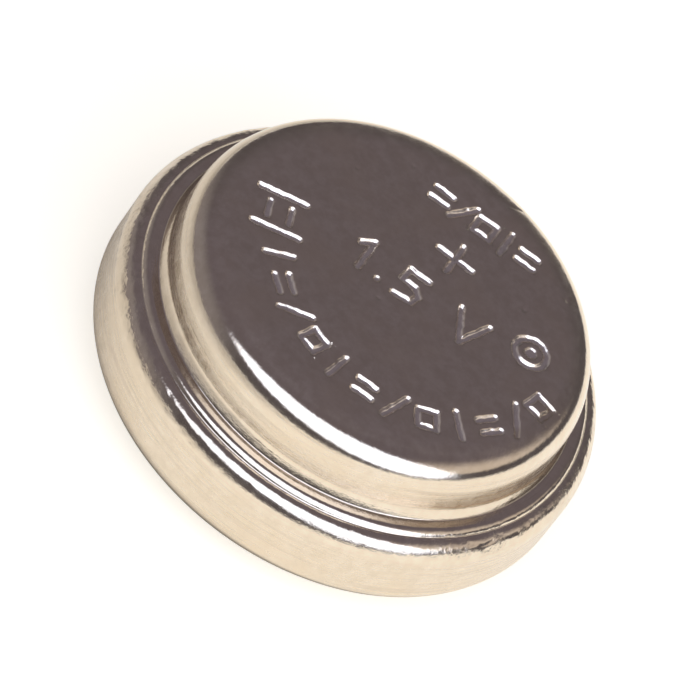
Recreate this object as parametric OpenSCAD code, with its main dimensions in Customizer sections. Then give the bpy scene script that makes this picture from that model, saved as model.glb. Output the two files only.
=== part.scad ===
// Stepped alkaline button cell, 625 size, positive end up.
// Origin: centre of the negative contact face. +Z: the cell's axis, towards the positive face.

/* [Cell] */
// Largest diameter, over the wide band
cell_d = 15.5; // [15.2:0.1:16]
// Height over the two contact faces
cell_h = 6; // [5.8:0.1:7]

/* [Positive can] */
// Sheet thickness of the can
can_wall = 0.25; // [0.2:0.01:0.28]
// Diameter of the narrow end
narrow_d = 13.1; // [12.8:0.1:13.3]
// Height of the narrow end, from the crest of the shoulder's bead to the positive face
step_h = 2.15; // [2:0.05:2.3]
// Radius of the edge around the positive face
face_edge_r = 0.6; // [0.4:0.05:0.8]
// Radius of the shoulder's outer edge, as a share of the shoulder's width
shoulder_edge_share = 0.42; // [0.36:0.01:0.45]
// Rise of the bead over the shoulder
bead_rise = 0.15; // [0.1:0.01:0.18]
// Radius of the fillet at the foot of the narrow wall, as a share of the shoulder's width
wall_foot_share = 0.33; // [0.25:0.01:0.36]
// Outer radius of the curl that closes the mouth
curl_r = 0.8; // [0.7:0.05:0.9]

/* [Negative cap] */
// Sheet thickness of the cap
cap_wall = 0.22; // [0.18:0.01:0.24]
// How far the negative contact stands out of the curled mouth
cap_proud = 0.8; // [0.6:0.05:0.9]
// Diameter of the negative contact cup
cap_d = 11.7; // [11.2:0.1:11.9]
// Radius of the edge around the negative contact face
cap_edge_r = 0.45; // [0.35:0.05:0.5]

/* [Seal and fill] */
// Thickness of the gasket
gasket_wall = 0.35; // [0.3:0.01:0.38]
// Thickness of the barrier film
barrier_t = 0.1; // [0.06:0.01:0.14]
// Thickness of the absorbent pad
pad_t = 0.3; // [0.24:0.02:0.36]

/* [Stamping] */
// Width of a stamped stroke
stroke_w = 0.18; // [0.12:0.01:0.22]
// Depth of a stamped stroke
stroke_depth = 0.1; // [0.05:0.01:0.13]
// Radius of the row of marks around the face
mark_row_r = 4.75; // [4.2:0.05:4.8]

/* [Hidden] */
$fn = 128;

// Positive can, outside
can_r = cell_d / 2;
narrow_r = narrow_d / 2;
ledge_w = can_r - narrow_r;
bead_z = cell_h - step_h;
shoulder_z = bead_z - bead_rise;
mouth_z = cap_proud;
shoulder_edge_r = shoulder_edge_share * ledge_w;
wall_foot_r = wall_foot_share * ledge_w;
bead_r = 0.29 * ledge_w;
bead_pitch_r = narrow_r + 0.3 * ledge_w;

// Positive can, inside
bore_r = can_r - can_wall;
narrow_bore_r = narrow_r - can_wall;
ceiling_z = cell_h - can_wall;
seat_z = shoulder_z - can_wall;
ceiling_edge_r = face_edge_r - can_wall;
seat_edge_r = shoulder_edge_r / 2;
bend_r = 0.54 * ledge_w;
curl_bore_r = curl_r - can_wall;
lip_top_z = mouth_z + can_wall;

// Negative cap: contact cup, shoulder, and a skirt of two plies joined by a hem at its top
cap_r = cap_d / 2;
cap_shoulder_z = lip_top_z + gasket_wall;
skirt_r = bore_r - gasket_wall;
skirt_mid_r = skirt_r - cap_wall;
skirt_bore_r = skirt_mid_r - cap_wall;
skirt_top_z = seat_z - gasket_wall;
cap_foot_r = 0.15;
skirt_edge_r = 0.3;
outer_ply_gap = 0.4;
lip_r = cap_r + 0.6;

// Gasket
foot_inner_r = narrow_bore_r - 0.35;
gasket_lip_r = lip_r - 0.2;

// Fill, from the ceiling down: pellet, barrier, pad, gel
disc_r = narrow_bore_r - 0.02;
pad_top_z = seat_z + pad_t;
pellet_z = pad_top_z + barrier_t;

// Stamping: the tool strikes off the face's centre
stamp_x = 0.7;
stamp_y = 0.55;
mark_h = 0.9;
mark_w = 0.6;
mark_count = 12;
mark_first_angle = 211;
mark_step_angle = 12.35;

// Half section of a disc from z0 to z1, with rounded outer edges
module disc_section(r, z0, z1, top_r = 0, foot_r = 0) {
  translate([0, z0 + foot_r]) square([r, z1 - z0 - top_r - foot_r]);
  if (top_r > 0) {
    translate([0, z1 - top_r]) square([r - top_r, top_r]);
    translate([r - top_r, z1 - top_r]) circle(top_r);
  }
  if (foot_r > 0) {
    translate([0, z0]) square([r - foot_r, foot_r]);
    translate([r - foot_r, z0 + foot_r]) circle(foot_r);
  }
}

// What fills a corner at [r, z] up to a round of the given radius; up or down of z
module corner_section(r, z, corner_r, up = 1) {
  difference() {
    translate([r, up > 0 ? z : z - corner_r]) square([corner_r, corner_r]);
    translate([r + corner_r, z + up * corner_r]) circle(corner_r);
  }
}

module can_outside() {
  disc_section(narrow_r, shoulder_z - can_wall / 2, cell_h, top_r = face_edge_r);
  corner_section(narrow_r, shoulder_z, wall_foot_r);
  disc_section(can_r, mouth_z, shoulder_z, top_r = shoulder_edge_r, foot_r = curl_r);
  translate([bead_pitch_r, bead_z - bead_r]) circle(bead_r);
}

module can_inside() {
  disc_section(narrow_bore_r, seat_z - can_wall, ceiling_z, top_r = ceiling_edge_r);
  disc_section(bore_r, lip_top_z, seat_z, top_r = seat_edge_r, foot_r = curl_bore_r);
  corner_section(narrow_bore_r, seat_z, bend_r);
  translate([0, mouth_z - can_wall]) square([lip_r + can_wall / 2, 3 * can_wall]);
}

module positive_can() {
  color([0.80, 0.77, 0.72])
    difference() {
      rotate_extrude() {
        difference() {
          can_outside();
          can_inside();
        }
        translate([lip_r + can_wall / 2, mouth_z + can_wall / 2]) circle(can_wall / 2);
      }
      translate([stamp_x, stamp_y, cell_h - stroke_depth]) linear_extrude(1) stamped_marks();
    }
}

// One straight stroke of the stamp, from a to b
module stroke(a, b) {
  run = b - a;
  translate(a) rotate(atan2(run[1], run[0])) translate([0, -stroke_w / 2])
    square([norm(run), stroke_w]);
  translate(a) circle(stroke_w / 2);
  translate(b) circle(stroke_w / 2);
}

module strokes(points) {
  for (i = [1 : len(points) - 1])
    stroke(points[i - 1], points[i]);
}

module ring(r) {
  difference() {
    circle(r + stroke_w / 2);
    circle(r - stroke_w / 2);
  }
}

// The plain marks: 0 bar, 1 pair of bars, 2 slash, 3 square
module mark(kind) {
  x = mark_w / 2;
  y = mark_h / 2;
  if (kind == 0)
    stroke([0, -y], [0, y]);
  if (kind == 1)
    for (side = [-1, 1])
      stroke([-x, side * y / 2], [x, side * y / 2]);
  if (kind == 2)
    stroke([-x, -y], [x, y]);
  if (kind == 3)
    strokes([[-x, -x], [x, -x], [x, x], [-x, x], [-x, -x]]);
}

module stamped_marks() {
  // Row around the face
  for (i = [0 : mark_count - 1])
    rotate(mark_first_angle + i * mark_step_angle + 90) translate([0, -mark_row_r]) mark(i % 4);
  // Straight row
  for (i = [0 : 4])
    translate([-1.3 + 0.78 * i, 3.55]) mark((i + 1) % 4);
  // Polarity sign
  translate([0.1, 1.75])
    for (turn = [0, 90])
      rotate(turn) stroke([-0.6, 0], [0.6, 0]);
  // Voltage: 1.5 V
  translate([0, -0.3]) {
    strokes([[-2.4, 0.3], [-2.05, 0.6], [-2.05, -0.6]]);
    translate([-1.4, -0.55]) circle(stroke_w * 0.6);
    strokes([[-0.1, 0.6], [-0.75, 0.6], [-0.8, 0.1], [-0.35, 0.1], [-0.1, -0.15], [-0.2, -0.5],
             [-0.8, -0.6]]);
    strokes([[1.1, 0.6], [1.6, -0.6], [2.1, 0.6]]);
  }
  // Ringed dot
  translate([3.5, 0.5]) {
    ring(0.52);
    circle(stroke_w);
  }
  // Framed pair of bars
  translate([-4.8, -1.05]) rotate(17) {
    for (side = [-1, 1])
      stroke([-0.75, 0.7 * side], [0.75, 0.7 * side]);
    for (side = [-1, 1])
      stroke([0.35 * side, -0.28], [0.35 * side, 0.28]);
  }
}

module negative_cap() {
  color([0.78, 0.76, 0.72])
    rotate_extrude() {
      difference() {
        union() {
          disc_section(cap_r, 0, cap_shoulder_z + cap_wall, foot_r = cap_edge_r);
          corner_section(cap_r, cap_shoulder_z, cap_foot_r, up = -1);
          disc_section(skirt_mid_r, cap_shoulder_z, skirt_top_z - cap_wall, foot_r = skirt_edge_r);
        }
        disc_section(cap_r - cap_wall, cap_wall, skirt_top_z, foot_r = cap_edge_r - cap_wall);
        disc_section(skirt_bore_r, cap_shoulder_z + cap_wall, skirt_top_z,
                     foot_r = skirt_edge_r - cap_wall);
        corner_section(cap_r - cap_wall, cap_shoulder_z + cap_wall, cap_foot_r + cap_wall, up = -1);
      }
      translate([skirt_mid_r, cap_shoulder_z + outer_ply_gap])
        square([cap_wall, skirt_top_z - cap_wall - cap_shoulder_z - outer_ply_gap]);
      intersection() {
        translate([skirt_mid_r, skirt_top_z - cap_wall]) circle(cap_wall);
        translate([skirt_bore_r, skirt_top_z - cap_wall]) square([2 * cap_wall, cap_wall]);
      }
    }
}

module sealing_gasket() {
  color([0.16, 0.16, 0.17])
    rotate_extrude()
      difference() {
        disc_section(bore_r, lip_top_z, seat_z, top_r = seat_edge_r, foot_r = curl_bore_r);
        disc_section(skirt_r, cap_shoulder_z, skirt_top_z, foot_r = curl_bore_r - gasket_wall);
        translate([0, skirt_top_z - gasket_wall]) square([foot_inner_r, 3 * gasket_wall]);
        translate([0, lip_top_z - gasket_wall]) square([gasket_lip_r, 3 * gasket_wall]);
      }
}

module cathode_pellet() {
  color([0.13, 0.13, 0.14])
    rotate_extrude()
      disc_section(narrow_bore_r, pellet_z, ceiling_z, top_r = ceiling_edge_r);
}

module barrier_disc() {
  color([0.85, 0.82, 0.72])
    translate([0, 0, pad_top_z]) cylinder(r = disc_r, h = barrier_t);
}

module absorbent_pad() {
  color([0.94, 0.94, 0.92])
    translate([0, 0, seat_z]) cylinder(r = disc_r, h = pad_t);
}

module anode_gel() {
  color([0.45, 0.47, 0.50])
    rotate_extrude() {
      disc_section(cap_r - cap_wall, cap_wall, cap_shoulder_z + cap_wall + cap_foot_r,
                   foot_r = cap_edge_r - cap_wall);
      corner_section(cap_r - cap_wall, cap_shoulder_z + cap_wall, cap_foot_r + cap_wall, up = -1);
      disc_section(skirt_bore_r, cap_shoulder_z + cap_wall, skirt_top_z,
                   foot_r = skirt_edge_r - cap_wall);
      translate([0, skirt_top_z - gasket_wall]) square([foot_inner_r, 2 * gasket_wall]);
    }
}

positive_can();
negative_cap();
sealing_gasket();
cathode_pellet();
barrier_disc();
absorbent_pad();
anode_gel();
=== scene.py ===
"""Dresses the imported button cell: drawn nickel sheet, stamped marks, nylon seal, in a plain studio."""
import math
import random

import bpy
from mathutils import Matrix, Vector, geometry, noise


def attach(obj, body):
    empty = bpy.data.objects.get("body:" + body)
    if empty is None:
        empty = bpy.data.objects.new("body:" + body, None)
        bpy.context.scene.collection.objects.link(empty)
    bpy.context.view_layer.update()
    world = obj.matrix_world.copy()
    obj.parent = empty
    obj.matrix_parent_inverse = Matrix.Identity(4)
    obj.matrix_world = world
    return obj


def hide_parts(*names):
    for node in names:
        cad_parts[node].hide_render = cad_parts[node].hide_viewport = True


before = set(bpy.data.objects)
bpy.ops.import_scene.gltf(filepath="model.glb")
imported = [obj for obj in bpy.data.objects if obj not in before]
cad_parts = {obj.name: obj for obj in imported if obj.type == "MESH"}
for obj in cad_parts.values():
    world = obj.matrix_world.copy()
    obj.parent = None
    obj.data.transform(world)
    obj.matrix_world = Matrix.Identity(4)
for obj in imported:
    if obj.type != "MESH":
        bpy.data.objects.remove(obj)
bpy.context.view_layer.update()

# ---------------------------------------------------------------- sizes, in millimetres as in the part
MM = 0.001
CAN_R = 7.75
CAN_WALL = 0.25
NARROW_R = 6.55
CELL_H = 6.0
MOUTH_Z = 0.8
CURL_R = 0.8
LIP_R = 6.45
SEAT_Z = 3.45
SEAT_EDGE_R = 0.252
BEND_R = 0.648
CEILING_EDGE_R = 0.35

# The sheet's outer bends, each (radius, tilt of the surface at its end): 0 faces up, 90 faces out.
# A bend without a tilt is a straight run of that length.
STRAIGHT = None
FACE_EASE = [(8.0, 2), (1.75, 23.5)]
FACE_EDGE = [(0.83, 61), (1.34, 68), (1.0, 86.2)]
FOOT = [(0.5, 67), (3.4, 63), (0.053, 2), (0.2, STRAIGHT)]
BEAD = [(0.275, 62.4), (0.065, 6.7), (0.033, STRAIGHT)]
SHOULDER = [(0.44, 56), (1.2, 69), (0.67, 90)]
SHOULDER_END_Z = 2.97

CAP_R = 5.85
CAP_WALL = 0.22
CAP_EDGE_R = 0.45
CAP_FOOT_R = 0.15
CAP_SHOULDER_Z = 1.4
SKIRT_R = 7.15
SKIRT_EDGE_R = 0.3
SKIRT_TOP_Z = 3.1
OUTER_PLY_GAP = 0.4

GASKET_WALL = 0.35
GASKET_FOOT_R = 5.95
GASKET_LIP_R = 6.25

# The stamp
STAMP_CENTRE = (0.7, 0.55)
MARK_ROW_R = 4.75
MARK_H = 0.9
MARK_W = 0.6
MARK_COUNT = 12
MARK_FIRST_ANGLE = 211
MARK_STEP_ANGLE = 12.35
STROKE_DEPTH = 0.105
STROKE_FLOOR = 0.04
STROKE_REACH = 0.15
HALO_DEPTH = 0.007
HALO_REACH = 0.45
FACE_SAG = 0.02
# Small dents (x, y, radius, depth) and one scratch that use has left on the face
DENTS = [(3.32, 2.32, 0.12, 0.03), (-0.31, -0.91, 0.12, 0.03), (4.17, 3.74, 0.1, 0.03),
         (-3.1, 2.9, 0.09, 0.015), (1.9, -4.1, 0.1, 0.015), (-1.8, 4.4, 0.08, 0.02)]
SCRATCH = [(1.06, 5.46), (1.64, 5.82)]
SCRATCH_DEPTH = 0.012
SCRATCH_REACH = 0.1

# How finely the meshes are drawn: facets round the axis, distances from a stroke's midline at which
# its walls get points, and the spacing of points on a midline, along a wall and on the plain face,
# whose rows lie at a share of that spacing
CAN_TURNS = 512
SMALL_TURNS = 256
WALL_OFFSETS = (STROKE_FLOOR, 0.06, 0.08, 0.1, 0.12, 0.14, 0.16, 0.24)
MIDLINE_STEP = 0.05
WALL_STEP = 0.042
PLAIN_STEP = 0.15
ROW_PITCH = 0.866
CLEAR_OF_STROKES = 0.31
CLEAR_OF_RIM = 0.05
EASE_RINGS = 12

# Where the sheet was worked or is worn, and where shade is painted under the curl: the height, radius or y
# at which an effect begins and is full
WALL_Z = (5.9, 5.6)
RIM_Z, RIM_R = (5.25, 5.4), (5.75, 6.05)
SHOULDER_LOW_Z, SHOULDER_TOP_Z = (2.9, 3.1), (4.3, 4.1)
RUBBED_R, RUBBED_FAR_Y = (6.95, 7.3), (-6.2, -4.2)
NICKED_LOW_Z, NICKED_TOP_Z, NICKED_R = (2.9, 3.1), (3.67, 3.6), (7.3, 7.42)
NICK_DEPTH = 0.026
STROKE_TOP_Z, STROKE_LOW_Z, STAMP_R = (5.975, 5.94), (5.8, 5.86), (5.6, 5.3)
# Painted shade: heights and radii over which the underside of the curl is painted dark, in place of the
# shaded floor it mirrors
PAINTED_SHADE_Z, PAINTED_SHADE_R = (1.38, 1.2), (7.2, 7.4)


# ---------------------------------------------------------------- profiles, as points (r, z)
def arc(centre_r, centre_z, radius, start, end, count):
    """Points of a circular arc, from the start angle to the end angle in degrees."""
    points = []
    for i in range(count + 1):
        angle = math.radians(start + (end - start) * i / count)
        points.append((centre_r + radius * math.cos(angle), centre_z + radius * math.sin(angle)))
    return points


def line(start, end, count):
    """Points of a straight run, without its two ends."""
    return [tuple(a + (b - a) * i / count for a, b in zip(start, end)) for i in range(1, count)]


def sweep(start, tilt, bends):
    """Points of a run of bends that begins at one point with one tilt."""
    points = [start]
    for radius, end in bends:
        r, z = points[-1]
        a = math.radians(tilt)
        if end is STRAIGHT:
            points.append((r + radius * math.cos(a), z - radius * math.sin(a)))
            continue
        turn = math.copysign(radius, end - tilt)
        count = max(3, round(abs(end - tilt) / 5))
        for i in range(1, count + 1):
            b = math.radians(tilt + (end - tilt) * i / count)
            points.append((r + turn * (math.sin(b) - math.sin(a)), z + turn * (math.cos(b) - math.cos(a))))
        tilt = end
    return points


def ending_at(points, end_r, end_z):
    """The same points, moved so that the last one lies at one radius and height."""
    dr, dz = end_r - points[-1][0], end_z - points[-1][1]
    return [(r + dr, z + dz) for r, z in points]


EASE_RUN = sweep((0, 0), 0, FACE_EASE)[-1][0]


def ease_drop(over):
    """How far the face has sunk at one distance into the bends that ease its rim."""
    drop, start = 0, 0
    for radius, tilt in FACE_EASE:
        end = min(start + over / radius, math.sin(math.radians(tilt)))
        drop += radius * (math.sqrt(1 - start * start) - math.sqrt(1 - end * end))
        over -= radius * (end - start)
        start = end
    return drop


def face_edge():
    """The round edge of the positive face, from where its flat eases off down to the narrow wall."""
    points = sweep((0, CELL_H - FACE_SAG - ease_drop(EASE_RUN)), FACE_EASE[-1][1], FACE_EDGE)
    return ending_at(points, NARROW_R, points[-1][1])


def can_outside():
    """From the rim of the positive face down to the lip under the curl."""
    edge = face_edge()
    wall_tilt = FACE_EDGE[-1][1]
    shoulder = ending_at(sweep((0, 0), wall_tilt, FOOT + BEAD + SHOULDER), CAN_R, SHOULDER_END_Z)
    curl = arc(CAN_R - CURL_R, MOUTH_Z + CURL_R, CURL_R, 0, -90, 14)
    points = edge + line(edge[-1], shoulder[0], 8) + shoulder
    return points + line(shoulder[-1], curl[0], 8) + curl


def can_inside():
    """From the lip, round its end, up the bore to the rim of the ceiling."""
    half = CAN_WALL / 2
    bore_r, narrow_bore_r = CAN_R - CAN_WALL, NARROW_R - CAN_WALL
    points = arc(LIP_R + half, MOUTH_Z + half, half, 270, 90, 6)
    points += arc(CAN_R - CURL_R, MOUTH_Z + CURL_R, CURL_R - CAN_WALL, -90, 0, 5)
    points += arc(bore_r - SEAT_EDGE_R, SEAT_Z - SEAT_EDGE_R, SEAT_EDGE_R, 0, 90, 3)
    points += arc(narrow_bore_r + BEND_R, SEAT_Z + BEND_R, BEND_R, 270, 180, 4)
    ceiling_z = CELL_H - CAN_WALL
    centre = (narrow_bore_r - CEILING_EDGE_R, ceiling_z - CEILING_EDGE_R)
    return points + arc(*centre, CEILING_EDGE_R, 0, 90, 4)


def cap_profile():
    """The negative cap: contact cup, shoulder, skirt of two plies with its hem, and back inside."""
    mid_r, bore_r = SKIRT_R - CAP_WALL, SKIRT_R - 2 * CAP_WALL
    hem_z, inner_z = SKIRT_TOP_Z - CAP_WALL, CAP_SHOULDER_Z + CAP_WALL
    cup_r, cup_edge_r = CAP_R - CAP_WALL, CAP_EDGE_R - CAP_WALL
    skirt_edge_r, foot_r = SKIRT_EDGE_R - CAP_WALL, CAP_FOOT_R + CAP_WALL
    points = arc(CAP_R - CAP_EDGE_R, CAP_EDGE_R, CAP_EDGE_R, -90, 0, 12)
    points += arc(CAP_R + CAP_FOOT_R, CAP_SHOULDER_Z - CAP_FOOT_R, CAP_FOOT_R, 180, 90, 6)
    points += arc(mid_r - SKIRT_EDGE_R, CAP_SHOULDER_Z + SKIRT_EDGE_R, SKIRT_EDGE_R, -90, 0, 6)
    points += [(mid_r, CAP_SHOULDER_Z + OUTER_PLY_GAP), (SKIRT_R, CAP_SHOULDER_Z + OUTER_PLY_GAP)]
    points += arc(mid_r, hem_z, CAP_WALL, 0, 180, 10)
    points += arc(bore_r - skirt_edge_r, inner_z + skirt_edge_r, skirt_edge_r, 0, -90, 4)
    points += arc(cup_r + foot_r, inner_z - foot_r, foot_r, 90, 180, 6)
    return points + arc(cup_r - cup_edge_r, CAP_WALL + cup_edge_r, cup_edge_r, 0, -90, 4)


def gasket_profile():
    """The sealing gasket's closed section, from its lip round the outside and back round the skirt."""
    bore_r, inner_edge_r = CAN_R - CAN_WALL, CURL_R - CAN_WALL - GASKET_WALL
    lip_top_z = MOUTH_Z + CAN_WALL
    curl_bore_r = CURL_R - CAN_WALL
    points = [(GASKET_LIP_R, lip_top_z)]
    points += arc(bore_r - curl_bore_r, lip_top_z + curl_bore_r, curl_bore_r, -90, 0, 8)
    points += arc(bore_r - SEAT_EDGE_R, SEAT_Z - SEAT_EDGE_R, SEAT_EDGE_R, 0, 90, 5)
    points += [(GASKET_FOOT_R, SEAT_Z), (GASKET_FOOT_R, SKIRT_TOP_Z), (SKIRT_R, SKIRT_TOP_Z)]
    points += arc(SKIRT_R - inner_edge_r, CAP_SHOULDER_Z + inner_edge_r, inner_edge_r, 0, -90, 4)
    return points + [(GASKET_LIP_R, CAP_SHOULDER_Z), points[0]]


# ---------------------------------------------------------------- the stamp's strokes, in millimetres
def mark(kind):
    """The strokes of one plain mark: 0 bar, 1 pair of bars, 2 slash, 3 square."""
    x, y = MARK_W / 2, MARK_H / 2
    return (
        [[(0, -y), (0, y)]],
        [[(-x, -y / 2), (x, -y / 2)], [(-x, y / 2), (x, y / 2)]],
        [[(-x, -y), (x, y)]],
        [[(-x, -x), (x, -x), (x, x), (-x, x), (-x, -x)]],
    )[kind]


def circle_stroke(radius, count=40):
    """A closed round stroke about the origin."""
    turns = [2 * math.pi * i / count for i in range(count + 1)]
    return [(radius * math.cos(t), radius * math.sin(t)) for t in turns]


def placed(strokes, dx, dy, turn=0):
    """Strokes turned by an angle in degrees, then moved."""
    c, s = math.cos(math.radians(turn)), math.sin(math.radians(turn))
    return [[(dx + c * x - s * y, dy + s * x + c * y) for x, y in stroke] for stroke in strokes]


def voltage():
    """1.5 V"""
    one = [(-2.4, 0.3), (-2.05, 0.6), (-2.05, -0.6)]
    point = [(-1.4, -0.55), (-1.39, -0.55)]
    five = [(-0.1, 0.6), (-0.75, 0.6), (-0.8, 0.1), (-0.35, 0.1), (-0.1, -0.15), (-0.2, -0.5), (-0.8, -0.6)]
    letter = [(1.1, 0.6), (1.6, -0.6), (2.1, 0.6)]
    return [one, point, five, letter]


def framed_bars():
    """A pair of short bars between two long ones."""
    strokes = []
    for side in (-1, 1):
        strokes.append([(-0.75, 0.7 * side), (0.75, 0.7 * side)])
        strokes.append([(0.35 * side, -0.28), (0.35 * side, 0.28)])
    return strokes


def stamped_strokes():
    """Every stroke of the stamp, in the face's own coordinates."""
    strokes = []
    for i in range(MARK_COUNT):
        turn = MARK_FIRST_ANGLE + i * MARK_STEP_ANGLE
        x, y = math.cos(math.radians(turn)), math.sin(math.radians(turn))
        strokes += placed(mark(i % 4), MARK_ROW_R * x, MARK_ROW_R * y, turn + 90)
    for i in range(5):
        strokes += placed(mark((i + 1) % 4), -1.3 + 0.78 * i, 3.55)
    strokes += placed([[(-0.6, 0), (0.6, 0)], [(0, -0.6), (0, 0.6)]], 0.1, 1.75)
    strokes += placed(voltage(), 0, -0.3)
    strokes += placed([circle_stroke(0.52), circle_stroke(0.1, 12)], 3.5, 0.5)
    strokes += placed(framed_bars(), -4.8, -1.05, 17)
    return placed(strokes, *STAMP_CENTRE)


def smooth(low, high, value):
    """0 at low, 1 at high, with a soft start and end."""
    t = min(max((value - low) / (high - low), 0), 1)
    return t * t * (3 - 2 * t)


class StrokeField:
    """Finds the nearest stroke of a point of the face, through a coarse grid."""

    CELL = 0.5
    FAR = 1.0

    def __init__(self, strokes):
        chance = random.Random(4)
        self.segments = []
        self.grid = {}
        for stroke in strokes:
            force = chance.uniform(0.78, 1.0)
            for a, b in zip(stroke, stroke[1:]):
                for i in self.cells(a[0], b[0]):
                    for j in self.cells(a[1], b[1]):
                        self.grid.setdefault((i, j), []).append(len(self.segments))
                self.segments.append((Vector(a), Vector(b), force))

    def cells(self, a, b):
        """Grid rows that a segment from a to b can reach."""
        low, high = min(a, b) - self.CELL, max(a, b) + self.CELL
        return range(math.floor(low / self.CELL), math.floor(high / self.CELL) + 1)

    def nearest(self, point, skip=-1):
        """(distance to the nearest segment but one, and the force it was struck with)."""
        key = (math.floor(point.x / self.CELL), math.floor(point.y / self.CELL))
        best = (self.FAR, 0)
        for index in self.grid.get(key, ()):
            a, b, force = self.segments[index]
            run = b - a
            t = min(max((point - a).dot(run) / run.length_squared, 0), 1)
            if index != skip:
                best = min(best, ((point - a - run * t).length, force))
        return best


def level_points(field, offset, step):
    """Points that lie at one distance from the strokes."""
    found = []
    for index, (a, b, _) in enumerate(field.segments):
        run = b - a
        across = Vector((-run.y, run.x)).normalized() * offset
        pieces = max(1, round(run.length / step))
        outline = [a + run * (i / pieces) + side * across for i in range(pieces + 1) for side in (-1, 1)]
        turns = max(3, round(math.pi * offset / step))
        for centre, way in ((a, 1), (b, -1)):
            for i in range(1, turns):
                outline.append(centre + Matrix.Rotation(math.pi * i / turns, 2) @ (way * across))
        found += [p for p in outline if field.nearest(p, index)[0] > offset - 1e-4]
    return found


def pressed(field, point):
    """How deep the stamp has pressed the face at one point: uneven strokes and their shallow halo."""
    distance, force = field.nearest(point)
    place = Vector((point.x, point.y, 0))
    worn = force * (0.85 + 0.3 * noise.noise(place * 1.3) + 0.15 * noise.noise(place * 4))
    wavering = distance + 0.03 * noise.noise(place * 5)
    press = STROKE_DEPTH * worn * (1 - smooth(STROKE_FLOOR, STROKE_REACH, wavering))
    return press + HALO_DEPTH * (1 - smooth(0.05, HALO_REACH, distance))


def worn_down(point):
    """How deep the dents and the scratch go at one point of the face."""
    depth = 0
    for x, y, radius, deepest in DENTS:
        depth += deepest * (1 - smooth(0, radius, math.hypot(point.x - x, point.y - y)))
    a, b = Vector(SCRATCH[0]), Vector(SCRATCH[1])
    near, share = geometry.intersect_point_line(point, a, b)
    along = min(max(share, 0), 1)
    distance = (point - a - (b - a) * along).length
    return depth + SCRATCH_DEPTH * (1 - smooth(0, SCRATCH_REACH, distance))


def face_height(field, point, rim_r):
    """Height of the positive face: a faint dome with eased rim, less what is pressed and worn into it."""
    over = max(point.length - (rim_r - EASE_RUN), 0)
    dome = FACE_SAG * (point.length / rim_r) ** 2
    swell = 0.006 * noise.noise(Vector((point.x, point.y, 2)) * 0.35)
    top = CELL_H - dome + min(swell, 0) - ease_drop(over)
    return top - pressed(field, point) - worn_down(point)


def wear_points():
    """Points that carry the dents and the scratch."""
    points = []
    for x, y, radius, _ in DENTS:
        points.append(Vector((x, y)))
        for share in (0.35, 0.7, 1.0):
            points += [Vector((x, y)) + Vector(p) * share for p in circle_stroke(radius, 12)[1:]]
    a, b = Vector(SCRATCH[0]), Vector(SCRATCH[1])
    across = (b - a).orthogonal().normalized()
    for i in range(12):
        for side in (-1, -0.5, 0, 0.5, 1):
            points.append(a.lerp(b, i / 11) + across * side * SCRATCH_REACH)
    return points


def face_points(rim):
    """(points, triangles, heights) of the positive face: its rim, the stamp's walls, and a plain fill."""
    field = StrokeField(stamped_strokes())
    rim_r = rim[0].length
    inner = [p for p in wear_points() if p.length < rim_r - CLEAR_OF_RIM]
    for offset in WALL_OFFSETS:
        inner += level_points(field, offset, WALL_STEP)
    for a, b, _ in field.segments:
        pieces = max(1, round((b - a).length / MIDLINE_STEP))
        inner += [a + (b - a) * (i / pieces) for i in range(pieces + 1)]
    plain = []
    count = int(rim_r / PLAIN_STEP) + 1
    for i in range(-count, count + 1):
        for j in range(-2 * count, 2 * count + 1):
            p = Vector(((i + 0.5 * (j % 2)) * PLAIN_STEP, j * PLAIN_STEP * ROW_PITCH))
            if p.length < rim_r - EASE_RUN:
                plain.append(p)
    for i in range(1, EASE_RINGS + 1):
        inward = 1 - i * EASE_RUN / EASE_RINGS / rim_r
        plain += [p * inward for p in rim[i % 2::2]]
    inner += [p for p in plain if field.nearest(p)[0] > CLEAR_OF_STROKES]
    flat, _, triangles, *_ = geometry.delaunay_2d_cdt(rim + inner, [], [], 0, 1e-5)
    return flat, triangles, [face_height(field, p, rim_r) for p in flat]


# ---------------------------------------------------------------- meshes
def revolve(profile, turns):
    """Vertices and quads of a profile turned about the axis, ring by ring."""
    vertices, quads = [], []
    for r, z in profile:
        for i in range(turns):
            angle = 2 * math.pi * i / turns
            vertices.append(Vector((r * math.cos(angle), r * math.sin(angle), z)))
    for ring in range(len(profile) - 1):
        for i in range(turns):
            j = (i + 1) % turns
            low, high = ring * turns, (ring + 1) * turns
            quads.append((low + i, high + i, high + j, low + j))
    return vertices, quads


def close_disc(vertices, faces, ring, turns, z, up):
    """Fans a ring of vertices to a point on the axis."""
    centre = len(vertices)
    vertices.append(Vector((0, 0, z)))
    for i in range(turns):
        a, b = ring + i, ring + (i + 1) % turns
        faces.append((a, b, centre) if up else (b, a, centre))


def piece(name, vertices, faces, material, node):
    """A smooth-shaded object that stands for a CAD node and rides on the root body."""
    mesh = bpy.data.meshes.new(name)
    mesh.from_pydata([v * MM for v in vertices], [], faces)
    mesh.validate()
    mesh.shade_smooth()
    mesh.materials.append(material)
    made = bpy.data.objects.new(name, mesh)
    bpy.context.collection.objects.link(made)
    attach(made, "root")
    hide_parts(node)


def scuff(vertices):
    """Nicks the outer edge of the shoulder, where the cell has rubbed against others."""
    for v in vertices:
        r = v.xy.length
        share = smooth(*NICKED_R, r) * smooth(*NICKED_LOW_Z, v.z) * smooth(*NICKED_TOP_Z, v.z)
        if share > 0:
            rough = noise.noise(Vector((v.x * 4.5, v.y * 4.5, v.z * 9.0)))
            patch = smooth(-0.25, 0.35, noise.noise(v * 0.45 + Vector((3, 0, 0))))
            inward = max(rough, 0) * NICK_DEPTH * share * (0.2 + patch)
            v.xy *= 1 - inward / r
            v.z -= inward * 0.6


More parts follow.
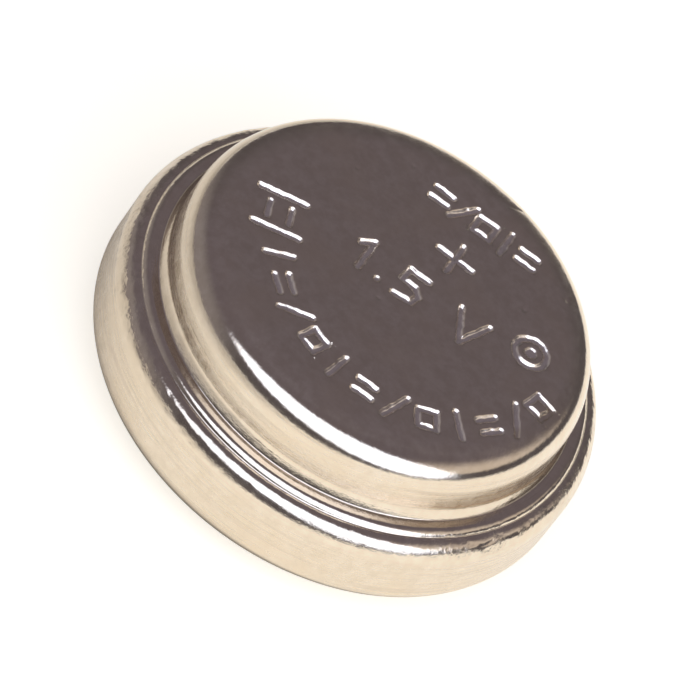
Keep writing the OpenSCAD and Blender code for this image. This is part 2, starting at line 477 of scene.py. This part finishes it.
def can_piece(material):
    """The positive can: outside and inside revolved, and its stamped face filled in."""
    profile = can_outside() + can_inside()
    vertices, faces = revolve(profile, CAN_TURNS)
    flat, triangles, heights = face_points([v.xy for v in vertices[:CAN_TURNS]])
    links = list(range(CAN_TURNS))
    for p, z in list(zip(flat, heights))[CAN_TURNS:]:
        links.append(len(vertices))
        vertices.append(Vector((p.x, p.y, z)))
    faces += [tuple(links[i] for i in triangle) for triangle in triangles]
    close_disc(vertices, faces, (len(profile) - 1) * CAN_TURNS, CAN_TURNS, CELL_H - CAN_WALL, False)
    scuff(vertices)
    piece("can_sheet", vertices, faces, material, "positive_can")


def cap_piece(material):
    """The negative cap, turned from its section."""
    profile = cap_profile()
    vertices, faces = revolve(profile, SMALL_TURNS)
    close_disc(vertices, faces, 0, SMALL_TURNS, 0, False)
    close_disc(vertices, faces, (len(profile) - 1) * SMALL_TURNS, SMALL_TURNS, CAP_WALL, True)
    piece("cap_sheet", vertices, faces, material, "negative_cap")


def gasket_piece(material):
    """The sealing gasket, turned from its closed section."""
    vertices, faces = revolve(gasket_profile(), SMALL_TURNS)
    piece("gasket_ring", vertices, faces, material, "sealing_gasket")


# ---------------------------------------------------------------- materials
class Tree:
    """A node tree, with short calls for the nodes that are used over and over."""

    def __init__(self, owner):
        owner.use_nodes = True
        self.tree = owner.node_tree
        self.place = None

    def node(self, kind, inputs=(), **settings):
        """A node with its inputs set in order; a socket as value is linked, and None is skipped."""
        made = self.tree.nodes.new(kind)
        for key, value in settings.items():
            setattr(made, key, value)
        for socket, value in zip(made.inputs, inputs):
            self.put(socket, value)
        return made

    def put(self, socket, value):
        if isinstance(value, bpy.types.NodeSocket):
            self.tree.links.new(value, socket)
        elif value is not None:
            socket.default_value = value

    def vector(self, operation, *values):
        return self.node("ShaderNodeVectorMath", values, operation=operation).outputs[0]

    def math(self, operation, *values):
        return self.node("ShaderNodeMath", values, operation=operation).outputs[0]

    def noise(self, scale, detail=3.0, place=None, roughness=0.55):
        made = self.node("ShaderNodeTexNoise")
        for key, value in (("Vector", place or self.place), ("Scale", scale), ("Detail", detail),
                           ("Roughness", roughness)):
            self.put(made.inputs[key], value)
        return made.outputs[0]

    def span(self, value, low, high, to_low=0.0, to_high=1.0):
        """A value mapped from one span to another, softly and clamped."""
        made = self.node("ShaderNodeMapRange", (value, low, high, to_low, to_high))
        made.interpolation_type = "SMOOTHSTEP"
        return made.outputs[0]

    def blend(self, share, a, b):
        """A colour between a and b."""
        made = self.node("ShaderNodeMix", data_type="RGBA")
        self.put(made.inputs[0], share)
        for socket, colour in ((made.inputs[6], a), (made.inputs[7], b)):
            self.put(socket, (*colour, 1) if isinstance(colour, tuple) else colour)
        return made.outputs[2]

    def bump(self, height, depth, below=None):
        """A bump of one depth in millimetres, laid over another."""
        made = self.node("ShaderNodeBump")
        self.put(made.inputs["Height"], height)
        self.put(made.inputs["Distance"], depth * MM)
        if below is not None:
            self.put(made.inputs["Normal"], below)
        return made.outputs[0]


class Shader(Tree):
    """A material's tree, with its shading node and its place in millimetres."""

    def __init__(self, name, **sockets):
        self.material = bpy.data.materials.new(name)
        super().__init__(self.material)
        self.surface = self.tree.nodes["Principled BSDF"]
        for key, value in sockets.items():
            self.surface.inputs[key.replace("_", " ")].default_value = value
        place = self.node("ShaderNodeTexCoord").outputs["Object"]
        self.place = self.vector("MULTIPLY", place, (1 / MM, 1 / MM, 1 / MM))


def sheet_nickel(name):
    """Nickel plating on drawn steel sheet: mottled, with drawing streaks round its walls."""
    s = Shader(name, Metallic=1.0)
    x, y, z = s.node("ShaderNodeSeparateXYZ", (s.place,)).outputs
    radius = s.math("SQRT", s.math("ADD", s.math("MULTIPLY", x, x), s.math("MULTIPLY", y, y)))
    around = (s.math("MULTIPLY", x, 0.3), s.math("MULTIPLY", y, 0.3),
              s.math("MULTIPLY", s.math("ADD", radius, z), 8.0))
    turned = s.node("ShaderNodeCombineXYZ", around).outputs[0]
    on_wall = s.span(z, *WALL_Z)
    on_shoulder = s.math("MULTIPLY", s.span(z, *SHOULDER_LOW_Z), s.span(z, *SHOULDER_TOP_Z))
    on_rim = s.math("MULTIPLY", s.span(z, *RIM_Z), s.span(radius, *RIM_R))
    burnished = s.math("MAXIMUM", on_shoulder, on_rim)

    cloud = s.noise(0.5, 4.0)
    mottle = s.noise(2.6, 5.0, roughness=0.65)
    streak = s.noise(1.0, 4.0, place=turned)
    grain = s.noise(20.0, 2.0)

    tone = s.blend(s.span(mottle, 0.3, 0.7), (0.73, 0.635, 0.505), (0.81, 0.715, 0.585))
    tone = s.blend(s.span(cloud, 0.4, 0.7, 0.0, 0.6), tone, (0.79, 0.675, 0.52))
    dull = s.math("MULTIPLY", s.span(streak, 0.45, 0.75, 0.0, 0.5), on_wall)
    tone = s.blend(dull, tone, (0.66, 0.565, 0.45))
    in_stroke = s.math("MULTIPLY", s.span(z, *STROKE_TOP_Z), s.span(z, *STROKE_LOW_Z))
    in_stroke = s.math("MULTIPLY", in_stroke, s.span(radius, *STAMP_R, 0.0, 0.9))
    tone = s.blend(in_stroke, tone, (1.0, 0.92, 0.82))
    # Painted shade: the underside of the curl is painted nearly black, where it mirrors the shaded floor
    # under the cell
    painted_curl_shade = s.math("MULTIPLY", s.span(z, *PAINTED_SHADE_Z, 0.0, 0.8), s.span(radius, *PAINTED_SHADE_R))
    s.put(s.surface.inputs["Base Color"], s.blend(painted_curl_shade, tone, (0.13, 0.105, 0.085)))

    rough = s.span(mottle, 0.25, 0.75, 0.19, 0.27)
    rough = s.math("ADD", rough, s.math("MULTIPLY", s.span(streak, 0.35, 0.75, 0.0, 0.1), on_wall))
    rough = s.math("MULTIPLY", rough, s.span(burnished, 0.0, 1.0, 1.0, 0.45))
    rubbed = s.math("MULTIPLY", s.span(radius, *RUBBED_R), on_shoulder)
    rubbed = s.math("MULTIPLY", rubbed, s.span(s.noise(1.1, 3.0), 0.4, 0.6, 0.15, 1.0))
    rubbed = s.math("MULTIPLY", rubbed, s.span(y, *RUBBED_FAR_Y, 0.4, 2.2))
    rough = s.math("ADD", rough, s.math("MULTIPLY", rubbed, 0.06))
    s.put(s.surface.inputs["Roughness"], rough)

    normal = s.bump(grain, 0.0015)
    normal = s.bump(s.math("MULTIPLY", streak, on_wall), 0.005, normal)
    normal = s.bump(mottle, 0.008, normal)
    normal = s.bump(s.math("MULTIPLY", s.noise(6.0, 2.0), rubbed), 0.012, normal)
    s.put(s.surface.inputs["Normal"], normal)
    return s.material


def moulded(name, colour, roughness, grain=12.0, depth=0.01):
    """A matt, slightly uneven material of one colour, with grain."""
    s = Shader(name, Roughness=roughness)
    speck = s.noise(grain, 4.0)
    cloud = s.noise(0.8, 3.0)
    dark, light = (tuple(min(1, c * k) for c in colour) for k in (0.7, 1.3))
    tone = s.blend(s.span(speck, 0.3, 0.7), dark, light)
    s.put(s.surface.inputs["Base Color"], s.blend(s.span(cloud, 0.3, 0.7, 0.0, 0.4), tone, light))
    s.put(s.surface.inputs["Normal"], s.bump(speck, depth))
    return s.material


# ---------------------------------------------------------------- studio
# The room: its colours by the height of a direction, and its paler sides, each a colour with the
# spans of the direction's parts over which it comes in
ROOM = [(0.043, (0.95, 0.95, 0.95, 1)), (0.05, (0.11, 0.1, 0.115, 1)), (0.35, (0.11, 0.1, 0.115, 1)),
        (0.75, (0.155, 0.135, 0.165, 1))]
SIDES = [((0.27, 0.25, 0.275), [("X", -0.55, -0.95)]),
         ((0.7, 0.63, 0.59), [("X", 0.45, 0.82), ("Z", 0.36, 0.42)])]
# The paper's own white where it is seen and where it is mirrored. The mirrored white fades close to the
# cell, about a centre a little left of its axis, and to its left, as a painted shadow that only reflections
# show: (from, to, share there, share there)
SEEN_WHITE = 0.64
MIRRORED_WHITE = 0.6
SHADE_OFFSET = 1.2
CLOSE_SHADE = ((7.2, 8.8, 0.0, 0.8), (8.8, 15.0, 0.0, 0.2))
LEFT_SHADE = ((-16.0, -2.0, 0.4, 1.0), (-36.0, -16.0, 0.1, 1.0))


def camera():
    """Looks down at 45 degrees on the near side, rolled so that the cell leans to the right."""
    distance, view_width, roll = 0.242, 0.02047, math.radians(36.75)
    aim_height, off_right, off_up = 3.8 * MM, 0.544 * MM, 0.597 * MM
    back = Vector((0, -1, 1)).normalized()
    level, rise = Vector((1, 0, 0)), Vector((0, 1, 1)).normalized()
    right = level * math.cos(roll) + rise * math.sin(roll)
    up = rise * math.cos(roll) - level * math.sin(roll)
    aim = Vector((0, 0, aim_height)) - right * off_right - up * off_up
    data = bpy.data.cameras.new("camera")
    data.lens = data.sensor_width * distance / view_width
    made = bpy.data.objects.new("camera", data)
    bpy.context.collection.objects.link(made)
    turn = Matrix((right, up, back)).transposed().to_4x4()
    made.matrix_world = Matrix.Translation(aim + back * distance) @ turn
    bpy.context.scene.camera = made


def softbox(azimuth, elevation, roll, distance, size, radiance):
    """An oval area lamp that faces the cell, its strength given as the radiance of its face."""
    data = bpy.data.lights.new("softbox", "AREA")
    data.shape = "ELLIPSE"
    data.size, data.size_y = size
    face_area = math.pi / 4 * size[0] * size[1]
    level = sum(radiance) / 3
    data.color = [c / level for c in radiance]
    data.energy = level * math.pi * face_area
    made = bpy.data.objects.new("softbox", data)
    turn = Matrix.Rotation(math.radians(azimuth + 90), 4, "Z")
    turn @= Matrix.Rotation(math.radians(90 - elevation), 4, "X")
    turn @= Matrix.Rotation(math.radians(roll), 4, "Z")
    made.matrix_world = turn @ Matrix.Translation((0, 0, distance))
    bpy.context.collection.objects.link(made)


def room():
    """The world: a dim room over a pale horizon, darkest low down and paler at two sides."""
    world = bpy.data.worlds.new("room")
    t = Tree(world)
    direction = t.node("ShaderNodeTexCoord").outputs["Generated"]
    axes = t.node("ShaderNodeSeparateXYZ", (direction,)).outputs
    ramp = t.node("ShaderNodeValToRGB", (axes["Z"],))
    stops = ramp.color_ramp.elements
    stops.remove(stops[1])
    stops[0].position, stops[0].color = ROOM[0]
    for position, colour in ROOM[1:]:
        stops.new(position).color = colour
    tone = ramp.outputs[0]
    for colour, spans in SIDES:
        share = 1.0
        for axis, start, full in spans:
            share = t.math("MULTIPLY", share, t.span(axes[axis], start, full))
        tone = t.blend(share, tone, colour)
    t.put(t.tree.nodes["Background"].inputs["Color"], tone)
    bpy.context.scene.world = world


def floor():
    """A pale paper floor that keeps the cell's shadow."""
    mesh = bpy.data.meshes.new("floor")
    reach = 3
    corners = [(-reach, -reach, 0), (reach, -reach, 0), (reach, reach, 0), (-reach, reach, 0)]
    mesh.from_pydata(corners, [], [(0, 1, 2, 3)])
    made = bpy.data.objects.new("floor", mesh)
    bpy.context.collection.objects.link(made)
    mesh.materials.append(paper())


def paper():
    """Lit paper, with a white of its own where it is seen or mirrored, and a painted shadow in the mirrored
    white near the cell and to its left.
    """
    s = Shader("floor_paper", Roughness=1.0, Specular_IOR_Level=0.0)
    s.put(s.surface.inputs["Base Color"], (0.93, 0.85, 0.67, 1))
    s.put(s.surface.inputs["Emission Color"], (1, 0.98, 0.93, 1))
    paths = s.node("ShaderNodeLightPath").outputs
    seen = s.math("MAXIMUM", paths["Is Camera Ray"], paths["Is Transmission Ray"])

    x, y, _ = s.node("ShaderNodeSeparateXYZ", (s.place,)).outputs
    x = s.math("ADD", x, SHADE_OFFSET)
    away = s.math("SQRT", s.math("ADD", s.math("MULTIPLY", x, x), s.math("MULTIPLY", y, y)))
    # Painted shadow: the mirrored white is taken down near the cell and to its left
    lit = s.math("ADD", *(s.span(away, *part) for part in CLOSE_SHADE))
    for part in LEFT_SHADE:
        lit = s.math("MULTIPLY", lit, s.span(x, *part))
    mirrored = s.math("MULTIPLY", s.math("MULTIPLY", lit, MIRRORED_WHITE), paths["Is Glossy Ray"])
    white = s.math("MAXIMUM", s.math("MULTIPLY", seen, SEEN_WHITE), mirrored)
    s.put(s.surface.inputs["Emission Strength"], white)
    return s.material


def studio():
    """Camera, room, floor and lamp."""
    bpy.context.scene.view_settings.view_transform = "Standard"
    camera()
    room()
    floor()
    softbox(azimuth=-64, elevation=46.2, roll=-29, distance=0.7, size=(1.96, 0.71),
            radiance=(1.5, 1.65, 2.05))


studio()
can_piece(sheet_nickel("nickel_can"))
cap_piece(sheet_nickel("nickel_cap"))
gasket_piece(moulded("nylon", (0.035, 0.034, 0.036), 0.45))
FILL = {
    "cathode_pellet": moulded("pressed_powder", (0.03, 0.03, 0.032), 0.7, 20.0, 0.03),
    "barrier_disc": moulded("barrier_film", (0.66, 0.61, 0.46), 0.35),
    "absorbent_pad": moulded("felt_pad", (0.78, 0.78, 0.74), 0.95, 9.0, 0.05),
    "anode_gel": moulded("zinc_gel", (0.2, 0.215, 0.235), 0.3, 16.0, 0.03),
}
for node, material in FILL.items():
    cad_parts[node].material_slots[0].material = material
